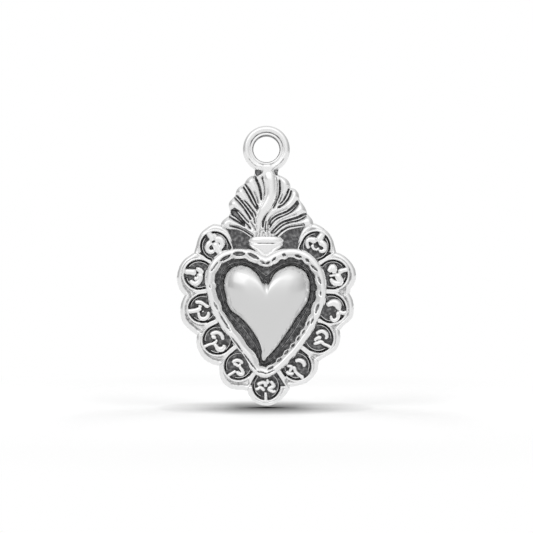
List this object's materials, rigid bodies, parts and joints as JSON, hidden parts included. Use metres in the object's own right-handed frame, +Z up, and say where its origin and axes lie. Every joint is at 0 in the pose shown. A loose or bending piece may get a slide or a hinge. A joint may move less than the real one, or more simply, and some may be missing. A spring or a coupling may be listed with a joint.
{
  "type": "sacred heart pendant",
  "caption": "Cast silver sacred heart charm with a rope-edged frame, a domed heart, a flame crest over a small urn, a scalloped border of scrolls and a bail ring.",
  "frame": {"origin": "centre of the hole in the bail ring", "axes": "+Z up through the flames and ring, +X to the viewer's right, the decorated front faces -Y and the flat back faces +Y"},
  "size_m": [0.0166, 0.0031, 0.026],
  "materials": {
    "antique_silver": "polished silver with dark oxide left in the recesses"
  },
  "bodies": {
    "root": {"pendant": "antique_silver"}
  },
  "joints": []
}
